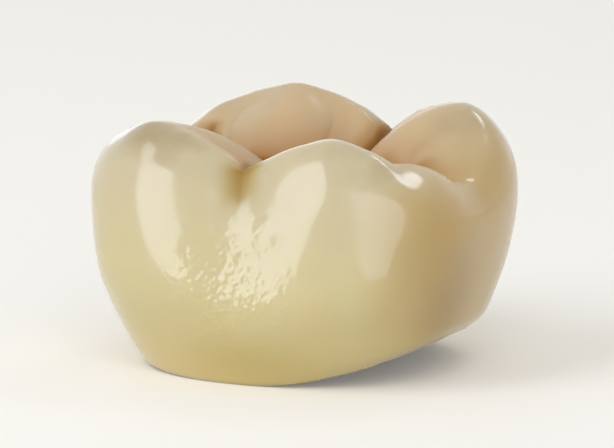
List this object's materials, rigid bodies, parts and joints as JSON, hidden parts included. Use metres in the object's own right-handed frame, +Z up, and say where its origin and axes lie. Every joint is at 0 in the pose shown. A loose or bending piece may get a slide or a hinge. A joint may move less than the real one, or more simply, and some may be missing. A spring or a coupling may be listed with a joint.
{
  "type": "dental crown",
  "caption": "Hollow ceramic dental crown for a lower left first molar, with rounded cusps, a grooved chewing surface and a margin that rises between the teeth.",
  "frame": {"origin": "middle of the footprint, at the lowest point of the margin", "axes": "+X from mesial (front of the mouth) to distal, +Y from the cheek side to the tongue side, +Z up through the chewing surface"},
  "size_m": [0.0112, 0.0106, 0.0074],
  "materials": {
    "glazed_ceramic": "glossy"
  },
  "bodies": {
    "root": {"crown": "glazed_ceramic"}
  },
  "joints": []
}
